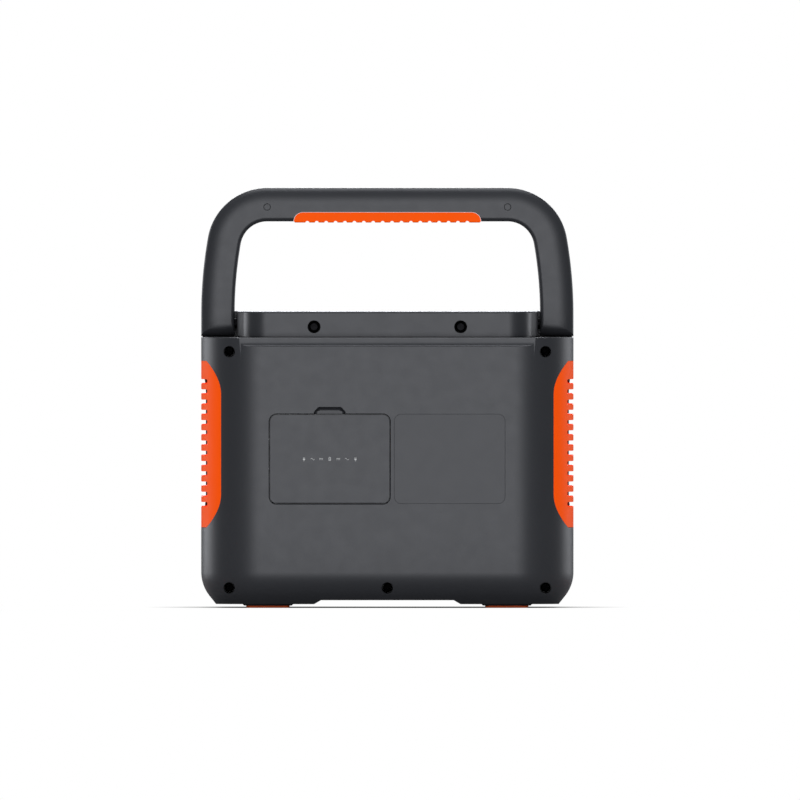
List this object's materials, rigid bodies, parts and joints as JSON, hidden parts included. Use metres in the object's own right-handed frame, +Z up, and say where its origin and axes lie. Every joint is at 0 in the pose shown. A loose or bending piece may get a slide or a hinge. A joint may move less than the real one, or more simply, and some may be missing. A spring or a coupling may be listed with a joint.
{
  "type": "portable_power_station",
  "caption": "Portable battery power station with a folding carrying handle, vented orange side panels, a rear port bay behind a hinged door, and a front panel of outlets",
  "frame": {"origin": "on the ground, below the middle of the case", "axes": "+Z up, +Y towards the front panel with the outlets, -Y towards the port door, +X to the right of a viewer who faces the port door"},
  "size_m": [0.356, 0.26, 0.401],
  "materials": {
    "body_plastic": "fine moulded texture",
    "orange_plastic": "fine moulded texture",
    "grip_rubber": "soft, ribbed below",
    "foot_rubber": "soft and matt",
    "black_plastic": "fine moulded texture",
    "display": "smooth and dark",
    "light_lens": "frosted white",
    "label": "smooth film",
    "steel": "plated",
    "aluminium": "plain",
    "circuit_board": "solder resist",
    "battery_wrap": "shrink film",
    "wound_copper": "taped winding"
  },
  "bodies": {
    "case": {"ac_inlet": "black_plastic", "ac_outlet_1": "black_plastic", "ac_outlet_2": "black_plastic", "ac_outlet_3": "black_plastic", "battery_board": "circuit_board", "battery_pack": "battery_wrap", "capacitor_left": "black_plastic", "capacitor_right": "black_plastic", "car_socket": "black_plastic", "case_screw_low_left": "steel", "case_screw_low_middle": "steel", "case_screw_low_right": "steel", "case_screw_top_left": "steel", "case_screw_top_right": "steel", "chassis_plate": "aluminium", "dc_input_socket_1": "black_plastic", "dc_input_socket_2": "black_plastic", "deck_screw_left": "steel", "deck_screw_right": "steel", "display_lens": "display", "display_module": "circuit_board", "expansion_connector": "black_plastic", "fan_frame_left": "black_plastic", "fan_frame_right": "black_plastic", "foot_front_left": "foot_rubber", "foot_front_right": "foot_rubber", "foot_rear_left": "foot_rubber", "foot_rear_right": "foot_rubber", "front_fascia": "black_plastic", "front_shell": "body_plastic", "heat_sink_left": "aluminium", "heat_sink_right": "aluminium", "hinge_pin_left": "steel", "hinge_pin_right": "steel", "inverter_board": "circuit_board", "label_plate": "label", "light_lens": "light_lens", "port_bay": "black_plastic", "port_door_pin": "steel", "rear_shell": "body_plastic", "side_panel_left": "orange_plastic", "side_panel_right": "orange_plastic", "top_deck": "body_plastic", "transformer": "wound_copper", "usb_module": "black_plastic"},
    "carrying_handle": {"handle_rear_half": "body_plastic", "handle_front_half": "body_plastic", "handle_core": "aluminium", "handle_grip": "grip_rubber", "handle_plug_left": "black_plastic", "handle_plug_right": "black_plastic"},
    "port_door": {"port_door": "body_plastic"},
    "power_button": {"power_button": "black_plastic"},
    "ac_button": {"ac_button": "black_plastic"},
    "dc_button": {"dc_button": "black_plastic"},
    "light_button": {"light_button": "black_plastic"},
    "socket_cap": {"car_socket_cap": "black_plastic"},
    "fan_left": {"fan_rotor_left": "black_plastic"},
    "fan_right": {"fan_rotor_right": "black_plastic"}
  },
  "joints": [
    {"name": "handle_fold", "type": "hinge", "parent": "case", "child": "carrying_handle", "pos_m": [0, 0, 0.2713], "axis": [1, 0, 0], "range_deg": [0, 90]},
    {"name": "port_door_hinge", "type": "hinge", "parent": "case", "child": "port_door", "pos_m": [-0.0551, -0.1291, 0.10075], "axis": [1, 0, 0], "range_deg": [0, 95]},
    {"name": "socket_cap_hinge", "type": "hinge", "parent": "case", "child": "socket_cap", "pos_m": [0.046, 0.1284, 0.1202], "axis": [1, 0, 0], "range_deg": [0, 120]},
    {"name": "power_button_press", "type": "slide", "parent": "case", "child": "power_button", "axis": [0, -1, 0], "range_m": [0, 0.0012], "stiffness_N_per_m": 800},
    {"name": "light_button_press", "type": "slide", "parent": "case", "child": "light_button", "axis": [0, -1, 0], "range_m": [0, 0.0012], "stiffness_N_per_m": 800},
    {"name": "dc_button_press", "type": "slide", "parent": "case", "child": "dc_button", "axis": [0, -1, 0], "range_m": [0, 0.0012], "stiffness_N_per_m": 800},
    {"name": "ac_button_press", "type": "slide", "parent": "case", "child": "ac_button", "axis": [0, -1, 0], "range_m": [0, 0.0012], "stiffness_N_per_m": 800},
    {"name": "fan_left_spin", "type": "hinge", "parent": "case", "child": "fan_left", "pos_m": [-0.1557, 0, 0.1576], "axis": [1, 0, 0], "continuous": true},
    {"name": "fan_right_spin", "type": "hinge", "parent": "case", "child": "fan_right", "pos_m": [0.1557, 0, 0.1576], "axis": [1, 0, 0], "continuous": true}
  ]
}
